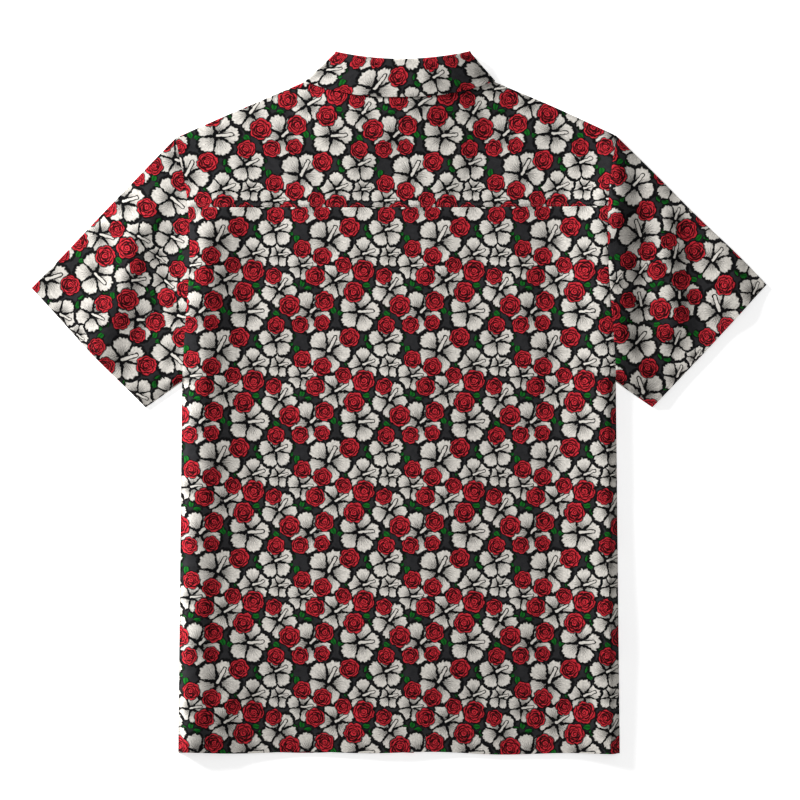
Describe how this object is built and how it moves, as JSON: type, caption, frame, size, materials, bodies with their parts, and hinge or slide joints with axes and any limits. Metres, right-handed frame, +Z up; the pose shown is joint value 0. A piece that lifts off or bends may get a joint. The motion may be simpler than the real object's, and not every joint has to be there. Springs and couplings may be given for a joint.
{
  "type": "hawaiian shirt",
  "caption": "Short-sleeved aloha shirt with a turned-down collar, a back yoke and a buttoned front, laid flat on its front with the back up.",
  "frame": {"origin": "on the surface that the shirt lies on, under the middle of its box", "axes": "+X across the shirt toward its right sleeve, +Y from its hem to its collar, +Z up from the surface through its back"},
  "size_m": [0.847, 0.8083, 0.0189],
  "materials": {
    "printed_cloth": "plain-woven cotton, printed all over with bone-white and red blossoms and green leaves on charcoal",
    "button": "black four-hole button with a soft shine"
  },
  "bodies": {
    "root": {"back_panel": "printed_cloth", "back_yoke": "printed_cloth", "front_left": "printed_cloth", "front_right": "printed_cloth", "sleeve_left": "printed_cloth", "sleeve_right": "printed_cloth", "collar": "printed_cloth", "button_1": "button", "button_2": "button", "button_3": "button", "button_4": "button", "button_5": "button", "button_6": "button", "button_7": "button"}
  },
  "joints": []
}
